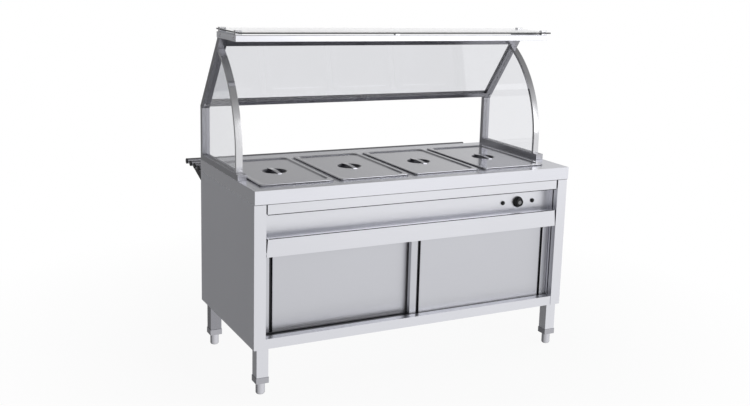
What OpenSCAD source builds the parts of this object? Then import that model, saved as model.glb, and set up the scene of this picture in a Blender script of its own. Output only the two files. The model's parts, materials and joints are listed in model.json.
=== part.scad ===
// Heated food service trolley: a stainless cabinet on four feet, with a water well for four
// lift-out pans, a glass canopy over the pans and a tube tray slide along the back.
// The operator's side (doors and knob) faces -Y. The origin is under the middle of the whole object.

/* [Cabinet] */
// Length of the worktop, left to right
body_l = 1500; // [1490:10:1900]
// Depth of the worktop, without the tray slide
body_d = 700; // [660:10:900]
// Height of the worktop above the floor
worktop_h = 850; // [800:10:1020]
// Height of the worktop's folded edge
apron_h = 55; // [52:1:80]
// Height of the cabinet's underside above the floor
clearance_h = 198; // [140:1:240]
// Thickness of the folded sheet
sheet = 1.2; // [1:0.1:2]
// How far the cabinet's front is set back under the worktop's edge
front_setback = 6; // [2:0.5:20]
// Width of each front stile
stile_w = 50; // [35:1:80]

/* [Front] */
// Height of the strip under the worktop's edge
fascia_h = 45; // [42:1:60]
// Height of the recessed control panel
panel_h = 110; // [90:1:130]
// Height of the rail over the doors
head_rail_h = 74; // [50:1:90]
// Height of the rail under the doors
bottom_rail_h = 42; // [30:1:70]
// How far the control panel is set back behind the cabinet's front
panel_setback = 62; // [50:1:72]
// Place of the knob to the right of the middle
knob_x = 525; // [300:1:560]
// Diameter of the knob
knob_dia = 50; // [36:1:60]
// Distance from the knob to each indicator lamp
lamp_spacing = 80; // [50:1:110]

/* [Sliding doors] */
// Thickness of a door
door_t = 20; // [14:1:24]
// Distance between the two tracks
track_pitch = 32; // [28:1:40]
// How far the doors overlap in the middle when shut
door_overlap = 58; // [30:1:90]
// Width of the lip beside each finger pull
lip_w = 34; // [22:1:50]
// Width of each finger pull
pull_w = 12; // [8:1:20]
// Depth of each finger pull
pull_depth = 12; // [6:0.5:16]

/* [Legs and feet] */
// Side of a square leg tube
leg_w = 50; // [38:1:60]
// Distance from the cabinet's side to a leg's middle
leg_inset_x = 40; // [36:1:80]
// Distance from the worktop's front edge to a front leg's middle
leg_inset_front = 40; // [38:1:80]
// Distance from the cabinet's back to a rear leg's middle
leg_inset_rear = 60; // [38:1:90]
// Height of the collar at a leg's lower end
collar_h = 25; // [12:1:30]
// Height of a foot's visible part
foot_h = 51; // [35:1:60]
// Diameter of a foot
foot_dia = 38; // [28:1:46]
// Diameter of a foot's screw
stem_dia = 12; // [10:1:16]

/* [Well and pans] */
// Length of a pan's rim, front to back
pan_l = 530; // [480:1:540]
// Width of a pan's rim
pan_w = 325; // [260:1:330]
// Depth of a pan
pan_depth = 100; // [65:5:100]
// Distance from one pan to the next
pan_pitch = 348; // [342:1:352]
// Place of the row of pans, right of the middle
well_x = -19; // [-25:1:25]
// Distance from the worktop's front edge to the middle of the pans
well_y = 339; // [330:1:360]
// Depth of the water tank under the worktop
tank_depth = 134; // [130:1:136]
// Sheet thickness of the pans and lids
pan_sheet = 1.2; // [0.8:0.1:2]
// Height of a lid's raised rim
lid_rim_h = 6; // [4:0.5:10]
// Diameter of the dish under a lid's handle
dish_dia = 105; // [80:1:130]

/* [Canopy] */
// Width of the canopy's tubes, left to right
tube_w = 38; // [30:1:46]
// Depth of the canopy's tubes
tube_d = 25; // [20:1:30]
// Length of the base rails from the worktop's back edge
base_rail_l = 498; // [440:1:560]
// Height of the rear posts' tops above the worktop
post_top = 240; // [200:1:320]
// Lean of the canopy's arms from upright, in degrees
arm_lean = 37.7; // [30:0.1:42]
// Height of the shelf frame's underside above the worktop
shelf_h = 555; // [500:1:640]
// Width of the polished arches
arch_w = 28; // [20:1:34]
// Thickness of the polished arches
arch_t = 14; // [10:1:20]
// Bend radius of the arches, at the middle of their thickness
arch_r = 500; // [470:1:540]
// Height above the worktop at which the arches start to bend
arch_bend_z = 85; // [60:1:110]
// Depth of the glass shelf
shelf_d = 286; // [260:1:300]
// Thickness of the glass
glass_t = 6; // [4:0.5:8]

/* [Tray slide] */
// Diameter of a tray slide tube
slide_tube_dia = 25; // [20:1:32]
// Distance from one tray slide tube to the next
slide_pitch = 60; // [45:1:70]
// Distance from the worktop's back edge to the first tube's middle
slide_gap = 46; // [30:1:70]
// Height of the tubes' middle below the worktop
slide_drop = 50; // [30:1:70]

/* [Hidden] */
$fn = 48;
slide_tubes = 4;
pans = 4;
tray_reach = slide_gap + (slide_tubes - 1) * slide_pitch + slide_tube_dia / 2;
total_d = body_d + tray_reach;
front_y = -total_d / 2;
rear_y = front_y + body_d;
half_l = body_l / 2;
jamb_x = half_l - stile_w;
inner_x = half_l - sheet;
apron_z = worktop_h - apron_h;
face_y = front_y + front_setback;
panel_y = face_y + panel_setback;
fascia_z = apron_z - fascia_h;
panel_z = fascia_z - panel_h;
rail_rise = 12;
head_top = panel_z + rail_rise;
head_z = head_top - head_rail_h;
sill_z = clearance_h + bottom_rail_h;
rail_gap = 6;
rail_inset = 2;
ledge_d = 22;
jamb_back = 36;
stile_return = 27;
head_flange = 32;
sill_flange = 24;
worktop_lip = 14;
leg_plate = 30;
leg_plate_t = 3;
shelf_lip = 25;
shelf_gap = 10;
pipe_clear = 2;

// Tracks and doors
door_back = 47;
door_1_y = face_y + door_back;
door_2_y = door_1_y + track_pitch;
track_clear = 0.5;
rib_w = 10.5;
track_y = door_1_y - track_clear - rib_w;
track_d = 2 * (rib_w + track_clear) + track_pitch + door_t;
track_h = 12;
track_base_z = sill_z - track_h;
track_base_t = 2.5;
door_z = track_base_z + track_base_t + track_clear;
door_rise = 21;
door_top = head_z + door_rise;
door_top_gap = 2;
top_rib_h = 9;
left_gap = 10;
right_gap = 1;
door_w = jamb_x + door_overlap / 2 - (left_gap + right_gap - 1) / 2;
door_skin = 1.2;

// Well
wall_clear = 5.5;
body_inset = 12.5;
open_w = pan_w - 2 * body_inset + 2 * wall_clear;
open_l = pan_l - 2 * body_inset + 2 * wall_clear;
well_l = (pans - 1) * pan_pitch + open_w;
well_mid_y = front_y + well_y;
tank_z = worktop_h - tank_depth;
tank_flange = 12;
bar_h = 15;
element_rise = 15;
element_z = tank_z + element_rise;
element_dia = 8;
element_gap = 160;
element_short = 180;
element_l = well_l - element_short;
head_plate_h = 28;
head_plate_edge = 20;
head_plate_t = 4;
element_x = well_x + well_l / 2;

// Drain
drain_x = 560;
drain_back = 60;
drain_y = well_mid_y + open_l / 2 - drain_back;
drain_dia = 22;
drain_flange = 14;
drain_flange_t = 4;
drain_spigot = 20;
drain_bore = 17;
spigot_l = 40;
drain_drop = 60;
drain_end_z = clearance_h - drain_drop;
valve_drop = 35;
valve_z = head_z - valve_drop;
valve_w = 42;
valve_h = 50;
boss_dia = 20;
boss_l = 8;
boss_bore_l = 17;
lever_l = 90;
lever_w = 16;
lever_t = 4;
lever_hub = 22;
lever_pin = 10;
lever_pin_l = 16;
pin_clear = 0.05;
shelf_z = (sill_z + head_z) / 2;

// Knob and lamps
knob_drop = 58;
knob_z = fascia_z - knob_drop;
knob_t = 18;
knob_gap = 2;
skirt_t = 5;
spindle_dia = 6;
spindle_l = 20;
thermostat_w = 44;
thermostat_h = 40;
thermostat_d = 34;
lamp_dia = 19;
lamp_body = lamp_dia - 6;
lamp_body_l = 16;
bezel_t = 3;
lens_h = 6;
gland_drop = 30;
gland_nut = 28;
gland_nut_t = 6;
gland_dia = 20;
gland_l = 18;
gland_bore = 9;

// Canopy
canopy_z = worktop_h + tube_d;
tube_x = half_l - tube_w / 2;
tube_wall = 2;
post_z = worktop_h + post_top;
joint_gap = 1;
frame_z = worktop_h + shelf_h;
rail_front_y = rear_y - base_rail_l;
lean_y = -sin(arm_lean);
lean_z = cos(arm_lean);
arm_front_y = rear_y - tube_d * lean_z;
arm_front_z = post_z + tube_d * lean_y;
post_front_y = rear_y - tube_d;
miter_z = arm_front_z + (arm_front_y - post_front_y) * lean_z / -lean_y;
function arm_rear_at(z) = rear_y + (z - post_z) * lean_y / lean_z;
function arm_front_at(z) = arm_front_y + (z - arm_front_z) * lean_y / lean_z;
rail_half_z = tube_d / 2 * (lean_z - lean_y);
cross_x = half_l - tube_w;
low_rail_rise = 15;
low_rail_z = post_z + low_rail_rise;
low_rail_y = (arm_rear_at(low_rail_z) + arm_front_at(low_rail_z)) / 2;
top_rail_z = frame_z - rail_half_z - joint_gap;
top_rail_y = (arm_rear_at(top_rail_z) + arm_front_at(top_rail_z)) / 2;
pane_gap = 0.3;
pane_l = (top_rail_z - low_rail_z) / lean_z - tube_d - 2 * pane_gap;
pane_t = 5;
arch_back = 40;
arch_y = rail_front_y + arch_back;
arch_mid_y = arch_y + arch_r;
arch_mid_z = worktop_h + arch_bend_z;
frame_tail = 9;
frame_rear_y = arm_rear_at(frame_z) + frame_tail;
frame_d = 241;
frame_front_y = frame_rear_y - frame_d;
clip_base = 8;
shelf_z_low = frame_z + tube_d + clip_base;
shelf_front = 31;
shelf_front_y = frame_front_y - shelf_front;
clip_w = 28;
clip_h = 20;
clip_d = 20;
clip_wall = 3;
clip_inset = 14;
clip_back = 30;
screw_inset = 26;
screw_back = 48;
screw_dia = 12;
screw_t = 2.5;
arm_screw_t = 4;
arm_screw_rise = 8;

// Tray slide
slide_z = worktop_h - slide_drop;
slide_wall = 1.2;
slide_bore = slide_tube_dia - 2 * slide_wall;
bracket_t = 4;
bracket_h = 95;
bracket_inset = 32;
bracket_tip = 16;
bracket_over = 6;
saddle_h = 5;
bracket_foot_w = 32;
bracket_foot_t = 3;
cap_t = 5;
cap_plug_l = 15;

// Feet
stem_l = 45;
plug_l = 34;
leg_z = foot_h + collar_h;
leg_wall = 1.5;
plug_clear = 0.2;
collar_edge = 2;
foot_nose = 9;
foot_gap = 0.5;

// Leg, collar and foot places, in the order front left, front right, rear left, rear right
leg_places = [
    [-half_l + leg_inset_x, front_y + leg_inset_front],
    [half_l - leg_inset_x, front_y + leg_inset_front],
    [-half_l + leg_inset_x, rear_y - leg_inset_rear],
    [half_l - leg_inset_x, rear_y - leg_inset_rear]
];

// Pans and lids
pan_rim_r = 14;
pan_body_r = 30;
lid_side_gap = 2;
lid_end_gap = 2.5;
sunk_gap = 2;
sunk_r = 28;
dish_h = 17;
dish_taper = 0.72;
strap_w = 18;
strap_t = 2.5;
strap_over = 12;

// A box between two corners
module span_box(low, high) {
    translate(low) cube(high - low);
}

// A rectangle with round corners, about the origin
module round_rect(w, l, r) {
    square([w - 2 * r, l], center = true);
    square([w, l - 2 * r], center = true);
    for (sx = [-1, 1], sy = [-1, 1]) {
        translate([sx * (w / 2 - r), sy * (l / 2 - r)]) circle(r = r);
    }
}

// An upright slab with round corners, standing on height z
module round_slab(w, l, r, z, h) {
    translate([0, 0, z]) linear_extrude(h) round_rect(w, l, r);
}

// An outline in the YZ plane, made w thick about the plane at x
module side_slab(x, w) {
    translate([x - w / 2, 0, 0]) rotate([90, 0, 90]) linear_extrude(w) children();
}

// Folded worktop with the opening of the well
module worktop() {
    color("silver") difference() {
        span_box([-half_l, front_y, apron_z], [half_l, rear_y, worktop_h]);
        span_box([-inner_x, front_y + sheet, apron_z + sheet], [inner_x, rear_y - sheet, worktop_h - sheet]);
        span_box([-half_l + worktop_lip, front_y + worktop_lip, apron_z - 1],
            [half_l - worktop_lip, rear_y - worktop_lip, apron_z + 2 * sheet]);
        translate([well_x, well_mid_y, worktop_h - 2 * sheet]) linear_extrude(4 * sheet)
            square([well_l, open_l], center = true);
    }
}

// Bars across the well that carry the pans' long rims
module well_crossbars() {
    bar_w = pan_pitch - open_w;
    color("silver") for (i = [1 : pans - 1]) {
        translate([well_x + (i - pans / 2) * pan_pitch, well_mid_y, 0]) difference() {
            span_box([-bar_w / 2, -open_l / 2, worktop_h - bar_h], [bar_w / 2, open_l / 2, worktop_h]);
            span_box([-bar_w / 2 + sheet, -open_l / 2 - 1, worktop_h - bar_h - 1],
                [bar_w / 2 - sheet, open_l / 2 + 1, worktop_h - sheet]);
        }
    }
}

// Water tank hung under the worktop, with the drain hole and the element's two holes
module water_tank() {
    top = worktop_h - sheet;
    color("lightgray") difference() {
        union() {
            translate([well_x, well_mid_y, tank_z]) linear_extrude(top - tank_z)
                square([well_l + 2 * sheet, open_l + 2 * sheet], center = true);
            translate([well_x, well_mid_y, top - sheet]) linear_extrude(sheet)
                square([well_l + 2 * tank_flange, open_l + 2 * tank_flange], center = true);
        }
        translate([well_x, well_mid_y, tank_z + sheet]) linear_extrude(tank_depth)
            square([well_l, open_l], center = true);
        translate([drain_x, drain_y, tank_z - 1]) cylinder(d = drain_bore, h = sheet + 2);
        for (s = [-1, 1]) {
            translate([element_x - 1, well_mid_y + s * element_gap / 2, element_z]) rotate([0, 90, 0])
                cylinder(d = element_dia + 1, h = sheet + 2);
        }
    }
}

// U-shaped heater on the tank's floor, with its head outside the tank's right wall
module heating_element() {
    bend_x = element_x - element_l;
    head_x = element_x + sheet;
    color("dimgray") {
        for (s = [-1, 1]) {
            translate([bend_x - 1, well_mid_y + s * element_gap / 2, element_z]) rotate([0, 90, 0])
                cylinder(d = element_dia, h = head_x + 3 - bend_x);
        }
        translate([bend_x, well_mid_y, element_z]) rotate([0, 0, 90])
            rotate_extrude(angle = 180) translate([element_gap / 2, 0]) circle(d = element_dia + 0.4);
        plate_half = element_gap / 2 + head_plate_edge;
        span_box([head_x, well_mid_y - plate_half, element_z - head_plate_h / 2],
            [head_x + head_plate_t, well_mid_y + plate_half, element_z + head_plate_h / 2]);
    }
}

// Thermostat behind the control panel, with the bushing that the knob's spindle turns in
module thermostat() {
    low_y = panel_y + sheet;
    color("white") difference() {
        span_box([knob_x - thermostat_w / 2, low_y, knob_z - thermostat_h / 2],
            [knob_x + thermostat_w / 2, low_y + thermostat_d, knob_z + thermostat_h / 2]);
        translate([knob_x, low_y - 1, knob_z]) rotate([-90, 0, 0])
            cylinder(d = spindle_dia + 2 * pin_clear, h = spindle_l + 1);
    }
}

// Drain pipe with its ball valve, down through the shelf and the floor
module drain_valve() {
    color("goldenrod") difference() {
        union() {
            translate([drain_x, drain_y, drain_end_z]) cylinder(d = drain_spigot, h = tank_z - drain_end_z);
            translate([drain_x, drain_y, drain_end_z + spigot_l])
                cylinder(d = drain_dia, h = tank_z - drain_end_z - spigot_l);
            translate([drain_x, drain_y, tank_z - drain_flange_t])
                cylinder(d = drain_dia + drain_flange, h = drain_flange_t);
            span_box([drain_x - valve_w / 2, drain_y - valve_w / 2, valve_z - valve_h / 2],
                [drain_x + valve_w / 2, drain_y + valve_w / 2, valve_z + valve_h / 2]);
            translate([drain_x, drain_y - valve_w / 2 - boss_l, valve_z]) rotate([-90, 0, 0])
                cylinder(d = boss_dia, h = boss_l + 2);
        }
        translate([drain_x, drain_y, drain_end_z - 1])
            cylinder(d = drain_bore, h = tank_z - drain_end_z + 2);
        translate([drain_x, drain_y - valve_w / 2 - boss_l - 1, valve_z]) rotate([-90, 0, 0])
            cylinder(d = lever_pin + 2 * pin_clear, h = boss_bore_l + 1);
    }
}

// Lever of the drain valve, shown shut
module drain_lever() {
    lever_y = drain_y - valve_w / 2 - boss_l - 1;
    color("firebrick") {
        translate([drain_x, lever_y - 1, valve_z]) rotate([-90, 0, 0])
            cylinder(d = lever_pin, h = lever_pin_l + 2);
        translate([drain_x, lever_y - lever_t, valve_z]) rotate([-90, 0, 0])
            cylinder(d = lever_hub, h = lever_t);
        span_box([drain_x - lever_l, lever_y - lever_t, valve_z - lever_w / 2],
            [drain_x, lever_y, valve_z + lever_w / 2]);
    }
}

// Side skin with the folded door jamb at its front
module side_panel(side) {
    jamb_y = face_y + jamb_back;
    jamb_end = track_y + track_d;
    low_x = side < 0 ? -half_l : inner_x;
    jamb_low = side < 0 ? -jamb_x - sheet : jamb_x;
    web_low = side < 0 ? -half_l : jamb_x;
    color("gray") {
        span_box([low_x, face_y + sheet, clearance_h], [low_x + sheet, rear_y, apron_z]);
        span_box([jamb_low, jamb_y, clearance_h], [jamb_low + sheet, jamb_end, apron_z]);
        span_box([web_low, jamb_y, clearance_h], [web_low + stile_w, jamb_y + sheet, apron_z]);
    }
}

// Back skin between the two sides
module back_panel() {
    color("silver") span_box([-inner_x, rear_y - sheet, clearance_h], [inner_x, rear_y, apron_z]);
}

// Floor tray with folded-down sides and four plates over the legs
module cabinet_floor() {
    low_y = track_y + track_d;
    high_y = rear_y - sheet;
    color("silver") difference() {
        union() {
            span_box([-inner_x, low_y, sill_z - sheet], [inner_x, high_y, sill_z]);
            for (s = [-1, 1]) {
                x = s < 0 ? -inner_x : inner_x - sheet;
                span_box([x, low_y, clearance_h], [x + sheet, high_y, sill_z]);
            }
            span_box([-inner_x, high_y - sheet, clearance_h], [inner_x, high_y, sill_z]);
            span_box([-inner_x, low_y, clearance_h], [inner_x, low_y + sheet, sill_z]);
            for (s = [-1, 1]) {
                x = s < 0 ? -inner_x : inner_x - leg_inset_x - leg_plate;
                w = leg_inset_x + leg_plate;
                span_box([x, rear_y - leg_inset_rear - leg_plate, clearance_h],
                    [x + w, high_y, clearance_h + leg_plate_t]);
                span_box([x, face_y + jamb_back + sheet, clearance_h],
                    [x + w, low_y + leg_plate, clearance_h + leg_plate_t]);
            }
        }
        for (s = [-1, 1]) {
            x = s < 0 ? -jamb_x - sheet : jamb_x;
            span_box([x, face_y, clearance_h - 1], [x + sheet, low_y, clearance_h + leg_plate_t + 1]);
        }
        translate([drain_x, drain_y, clearance_h - 1])
            cylinder(d = drain_dia + pipe_clear, h = bottom_rail_h + 2);
    }
}

// Shelf half way up the cupboard, with a hole for the drain pipe
module cabinet_shelf() {
    low_y = track_y + track_d + shelf_gap;
    color("silver") difference() {
        union() {
            span_box([-inner_x, low_y, shelf_z - sheet], [inner_x, rear_y - sheet, shelf_z]);
            span_box([-inner_x, low_y, shelf_z - shelf_lip], [inner_x, low_y + sheet, shelf_z]);
        }
        translate([drain_x, drain_y, shelf_z - sheet - 1])
            cylinder(d = drain_dia + pipe_clear, h = sheet + 2);
    }
}

// Front stile: a face and a return that meets the door opening
module stile(side) {
    low_x = side < 0 ? -half_l : jamb_x;
    return_x = side < 0 ? -jamb_x - sheet : jamb_x;
    color("gainsboro") {
        span_box([low_x, face_y, clearance_h], [low_x + stile_w, face_y + sheet, apron_z]);
        span_box([return_x, face_y, clearance_h], [return_x + sheet, face_y + stile_return, apron_z]);
    }
}

// Folded strip under the worktop's edge
module upper_fascia() {
    x = jamb_x - rail_gap;
    y = face_y + rail_inset;
    color("whitesmoke") {
        span_box([-x, y, fascia_z], [x, y + sheet, apron_z]);
        span_box([-x, y, fascia_z], [x, panel_y + sheet, fascia_z + sheet]);
        span_box([-x, y, apron_z - sheet], [x, y + ledge_d, apron_z]);
    }
}

// Recessed control panel with the ledge at its foot, and its three holes
module control_panel() {
    color("gainsboro") difference() {
        union() {
            span_box([-jamb_x, panel_y, panel_z], [jamb_x, panel_y + sheet, fascia_z]);
            span_box([-jamb_x, face_y + rail_inset + ledge_d - sheet, panel_z],
                [jamb_x, panel_y + sheet, panel_z + sheet]);
        }
        translate([knob_x, panel_y - 1, knob_z]) rotate([-90, 0, 0])
            cylinder(d = spindle_dia + 2, h = sheet + 2);
        for (s = [-1, 1]) {
            translate([knob_x + s * lamp_spacing, panel_y - 1, knob_z]) rotate([-90, 0, 0])
                cylinder(d = lamp_body + 1, h = sheet + 2);
        }
    }
}

// Rail over the doors, trimmed at its upper ends
module door_head_rail() {
    x = jamb_x - rail_inset;
    trim = 6;
    y = face_y + rail_inset;
    color("whitesmoke") difference() {
        union() {
            span_box([-x, y, head_z], [x, y + sheet, head_top]);
            span_box([-x, y, head_top - sheet], [x, y + ledge_d, head_top]);
            span_box([-x, y + ledge_d - sheet, panel_z + sheet], [x, y + ledge_d, head_top]);
            span_box([-x, y, head_z], [x, y + head_flange, head_z + sheet]);
        }
        for (s = [-1, 1]) {
            translate([s * x, y - 1, 0]) rotate([-90, 0, 0]) linear_extrude(ledge_d + 2)
                polygon([[0, -head_z], [-s * trim, -head_top - 1], [s, -head_top - 1], [s, -head_z]]);
        }
    }
}

// Rail under the doors
module bottom_rail() {
    y = face_y + rail_inset;
    color("whitesmoke") {
        span_box([-jamb_x, y, clearance_h], [jamb_x, y + sheet, sill_z]);
        span_box([-jamb_x, y, sill_z - sheet], [jamb_x, track_y, sill_z]);
        span_box([-jamb_x, y, clearance_h], [jamb_x, y + sill_flange, clearance_h + sheet]);
    }
}

// One track: a base and three ribs, along the door opening
module track(base_low, base_high, rib_low, rib_high) {
    span_box([-jamb_x, track_y, base_low], [jamb_x, track_y + track_d, base_high]);
    rib_y = [track_y, door_1_y + door_t + track_clear, door_2_y + door_t + track_clear];
    rib_end = [door_1_y - track_clear, door_2_y - track_clear, track_y + track_d];
    for (i = [0 : 2]) {
        span_box([-jamb_x, rib_y[i], rib_low], [jamb_x, rib_end[i], rib_high]);
    }
}

// Upper and lower tracks of the two sliding doors
module door_tracks() {
    color("darkgray") {
        track(track_base_z, track_base_z + track_base_t, track_base_z, sill_z);
        top = door_top + door_top_gap;
        track(top, top + track_base_t, head_z + top_rib_h, top + track_base_t);
    }
}

// Folded sliding door with a finger pull at each end, its back open
module door(low_x, y) {
    back_y = y + door_t;
    color("lightgray") difference() {
        span_box([low_x, y, door_z], [low_x + door_w, back_y, door_top]);
        for (side = [0, 1]) {
            pull_x = side == 0 ? low_x + lip_w : low_x + door_w - lip_w - pull_w;
            span_box([pull_x, y - 1, door_z + door_skin],
                [pull_x + pull_w, y + pull_depth, door_top - door_skin]);
        }
        pockets = [
            [low_x + door_skin, low_x + lip_w - door_skin],
            [low_x + lip_w + pull_w + door_skin, low_x + door_w - lip_w - pull_w - door_skin],
            [low_x + door_w - lip_w + door_skin, low_x + door_w - door_skin]
        ];
        for (p = pockets) {
            span_box([p[0], y + door_skin, door_z + door_skin], [p[1], back_y + 1, door_top - door_skin]);
        }
        for (side = [0, 1]) {
            pull_x = side == 0 ? low_x + lip_w : low_x + door_w - lip_w - pull_w;
            span_box([pull_x - 2 * door_skin, y + pull_depth + door_skin, door_z + door_skin],
                [pull_x + pull_w + 2 * door_skin, back_y + 1, door_top - door_skin]);
        }
    }
}

module door_left() {
    door(-jamb_x + left_gap, door_2_y);
}

module door_right() {
    door(jamb_x - door_w - right_gap, door_1_y);
}

// Knob with its skirt, grip and spindle
module knob() {
    color("black") translate([knob_x, panel_y - knob_gap, knob_z]) rotate([90, 0, 0]) {
        cylinder(d = knob_dia, h = skirt_t);
        cylinder(d1 = knob_dia * 0.86, d2 = knob_dia * 0.78, h = knob_t);
        translate([0, 0, -spindle_l]) cylinder(d = spindle_dia, h = spindle_l + 2);
        translate([-1.5, 0, knob_t - 1]) cube([3, knob_dia * 0.36, 2]);
    }
}

// Two indicator lamps, each with a bezel and a lens
module indicator_lamps() {
    color("darkslategray") for (s = [-1, 1]) {
        translate([knob_x + s * lamp_spacing, panel_y, knob_z]) rotate([90, 0, 0]) {
            cylinder(d = lamp_dia, h = bezel_t);
            cylinder(d1 = lamp_body, d2 = lamp_body - 3, h = lens_h);
            translate([0, 0, -lamp_body_l]) cylinder(d = lamp_body, h = lamp_body_l + 1);
        }
    }
}

// Cable gland on the back
module cable_gland() {
    color("black") translate([knob_x, rear_y, tank_z - gland_drop]) rotate([-90, 0, 0]) difference() {
        union() {
            cylinder(d = gland_nut, h = gland_nut_t, $fn = 6);
            cylinder(d = gland_dia, h = gland_l);
        }
        translate([0, 0, 2]) cylinder(d = gland_bore, h = gland_l);
    }
}

// Square leg tube
module leg(i) {
    color("silver") translate([leg_places[i][0], leg_places[i][1], leg_z])
        linear_extrude(clearance_h - leg_z)
        difference() {
            square(leg_w, center = true);
            square(leg_w - 2 * leg_wall, center = true);
        }
}

// Collars that plug the legs and hold the feet's screws
module leg_collars() {
    plug_w = leg_w - 2 * leg_wall - plug_clear;
    collar_w = leg_w + 2 * collar_edge;
    color("dimgray") for (p = leg_places) {
        translate([p[0], p[1], foot_h]) difference() {
            union() {
                translate([0, 0, collar_h / 2]) cube([collar_w, collar_w, collar_h], center = true);
                translate([0, 0, (collar_h + plug_l) / 2])
                    cube([plug_w, plug_w, collar_h + plug_l], center = true);
            }
            translate([0, 0, -1]) cylinder(d = stem_dia + 2 * pin_clear, h = collar_h + plug_l + 2);
        }
    }
}

// Bullet foot with its screw
module foot(i) {
    color("darkgray") translate([leg_places[i][0], leg_places[i][1], 0]) {
        rotate_extrude() {
            translate([0, foot_nose]) square([foot_dia / 2, foot_h - foot_nose - foot_gap]);
            translate([foot_dia / 2 - foot_nose, foot_nose]) circle(r = foot_nose);
            square([foot_dia / 2 - foot_nose, foot_nose]);
        }
        translate([0, 0, foot_h - 2]) cylinder(d = stem_dia, h = stem_l + 2);
    }
}

// Tube along the worktop's side that carries the canopy
module base_rail(side) {
    x = side < 0 ? -half_l : half_l - tube_w;
    color("silver") difference() {
        span_box([x, rail_front_y, worktop_h], [x + tube_w, rear_y, canopy_z]);
        span_box([x + tube_wall, rail_front_y + tube_wall, worktop_h + tube_wall],
            [x + tube_w - tube_wall, rear_y + 1, canopy_z - tube_wall]);
    }
}

// Rear post, mitred to its arm
module post(side) {
    color("silver") difference() {
        side_slab(side * tube_x, tube_w)
            polygon([[post_front_y, canopy_z], [rear_y, canopy_z], [rear_y, post_z],
                [post_front_y, miter_z]]);
        side_slab(side * tube_x, tube_w - 2 * tube_wall)
            translate([post_front_y + tube_wall, canopy_z - 1]) square([tube_d - 2 * tube_wall, post_top]);
    }
}

// Leaning arm from the post's top to the shelf frame
module arm(side) {
    low_z = miter_z - tube_d;
    high_z = frame_z + joint_gap;
    inset = tube_wall / lean_z;
    color("gray") difference() {
        side_slab(side * tube_x, tube_w)
            polygon([
                [rear_y, post_z], [arm_rear_at(frame_z), frame_z],
                [arm_front_at(frame_z), frame_z], [post_front_y, miter_z]
            ]);
        side_slab(side * tube_x, tube_w - 2 * tube_wall)
            polygon([
                [arm_rear_at(low_z) - inset, low_z], [arm_rear_at(high_z) - inset, high_z],
                [arm_front_at(high_z) + inset, high_z], [arm_front_at(low_z) + inset, low_z]
            ]);
    }
}

// Bent polished strip from the base rail to the arm
module arch(side) {
    color("white") difference() {
        side_slab(side * tube_x, arch_w) {
            translate([arch_y - arch_t / 2, canopy_z]) square([arch_t, arch_mid_z - canopy_z]);
            intersection() {
                translate([arch_mid_y, arch_mid_z]) difference() {
                    circle(r = arch_r + arch_t / 2, $fn = 96);
                    circle(r = arch_r - arch_t / 2, $fn = 96);
                }
                translate([arch_y - arch_t, arch_mid_z]) square([rear_y - arch_y + arch_t, frame_z]);
            }
        }
        side_slab(side * tube_x, tube_w + 10)
            polygon([
                [arm_front_at(canopy_z), canopy_z], [arm_front_at(frame_z + 200), frame_z + 200],
                [rear_y + 200, frame_z + 200], [rear_y + 200, canopy_z]
            ]);
    }
}

// A square tube from arm to arm, turned to lie with the arms
module cross_rail(y, z) {
    bore_w = tube_d - 2 * tube_wall;
    color("gray") translate([0, y, z]) rotate([arm_lean, 0, 0]) difference() {
        cube([2 * cross_x, tube_d, tube_d], center = true);
        cube([2 * cross_x + 2, bore_w, bore_w], center = true);
    }
}

module lower_cross_rail() {
    cross_rail(low_rail_y, low_rail_z);
}

module upper_cross_rail() {
    cross_rail(top_rail_y, top_rail_z);
}

// Level frame on the arms: two side tubes and a front tube
module shelf_frame() {
    low_z = frame_z + tube_wall;
    high_z = frame_z + tube_d - tube_wall;
    bore_y = frame_front_y + tube_wall;
    color("silver") difference() {
        union() {
            for (s = [-1, 1]) {
                x = s < 0 ? -half_l : half_l - tube_w;
                span_box([x, frame_front_y, frame_z], [x + tube_w, frame_rear_y, frame_z + tube_d]);
            }
            span_box([-tube_x, frame_front_y, frame_z], [tube_x, frame_front_y + tube_d, frame_z + tube_d]);
        }
        for (s = [-1, 1]) {
            x = s * tube_x;
            span_box([x - tube_w / 2 + tube_wall, bore_y, low_z],
                [x + tube_w / 2 - tube_wall, frame_rear_y + 1, high_z]);
        }
        span_box([-tube_x, bore_y, low_z], [tube_x, frame_front_y + tube_d - tube_wall, high_z]);
    }
}

// Glass shelf on top
module shelf_glass() {
    x = half_l - clip_wall;
    color("lightcyan") span_box([-x, shelf_front_y, shelf_z_low],
        [x, shelf_front_y + shelf_d, shelf_z_low + glass_t]);
}

// Leaning pane between the two cross rails
module sloped_glass() {
    y = (low_rail_y + top_rail_y) / 2;
    z = (low_rail_z + top_rail_z) / 2;
    color("lightcyan") translate([0, y, z]) rotate([arm_lean, 0, 0])
        cube([2 * cross_x - 2, pane_t, pane_l], center = true);
}

// Side pane inside the post, the arm, the arch and the base rail
module side_glass(side) {
    gap = 0.5;
    inner_r = arch_r - arch_t / 2 - gap;
    top_z = frame_z + 10;
    color("lightcyan") side_slab(side * tube_x, pane_t) intersection() {
        polygon([
            [arch_y, canopy_z + gap], [post_front_y - gap, canopy_z + gap], [post_front_y - gap, miter_z],
            [arm_front_at(top_z) - 2 * gap, top_z], [arch_y, top_z]
        ]);
        union() {
            translate([arch_mid_y, arch_mid_z]) circle(r = inner_r, $fn = 96);
            translate([arch_mid_y - inner_r, canopy_z]) square([inner_r - 50, arch_mid_z - canopy_z]);
        }
    }
}

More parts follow.
